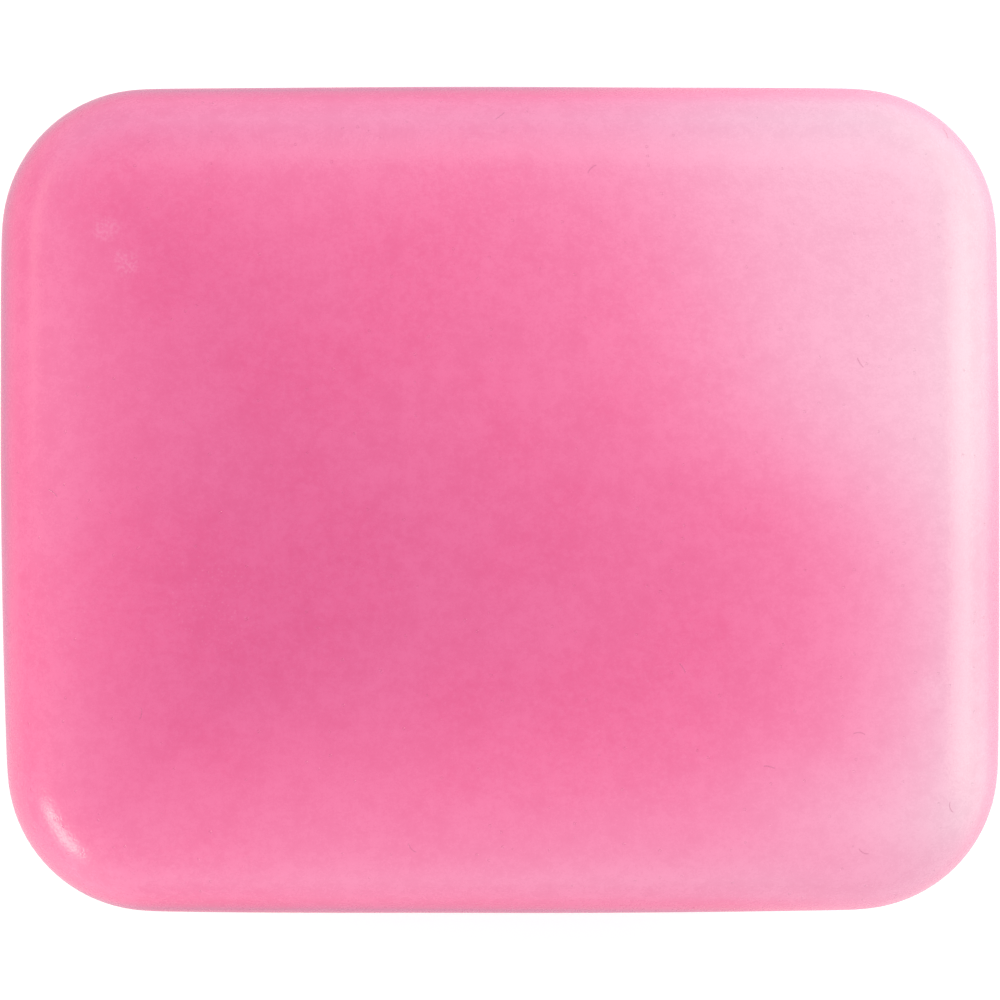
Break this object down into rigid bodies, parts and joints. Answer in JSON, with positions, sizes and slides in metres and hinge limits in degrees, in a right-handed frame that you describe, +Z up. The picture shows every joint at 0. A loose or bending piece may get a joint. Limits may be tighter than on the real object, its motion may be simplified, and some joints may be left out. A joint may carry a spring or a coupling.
{
  "type": "soap loaf mould",
  "caption": "Soft silicone mini loaf mould for soap: a tapered rectangular tub with round corners and a thick rim, under a lift-off lid.",
  "frame": {"origin": "middle of the underside, on the surface that the mould stands on", "axes": "+X along the mould's length, +Y across its width, +Z up through the lid"},
  "size_m": [0.12, 0.0992, 0.075],
  "materials": {
    "body_silicone": "satin, slightly see-through silicone",
    "lid_silicone": "satin, slightly see-through silicone with a fine skin grain"
  },
  "bodies": {
    "mould_body": {"mould_body": "body_silicone"},
    "lid": {"lid": "lid_silicone"}
  },
  "joints": [
    {"name": "lid_lift", "type": "slide", "parent": "mould_body", "child": "lid", "axis": [0, 0, 1], "range_m": [0, 0.12]}
  ]
}
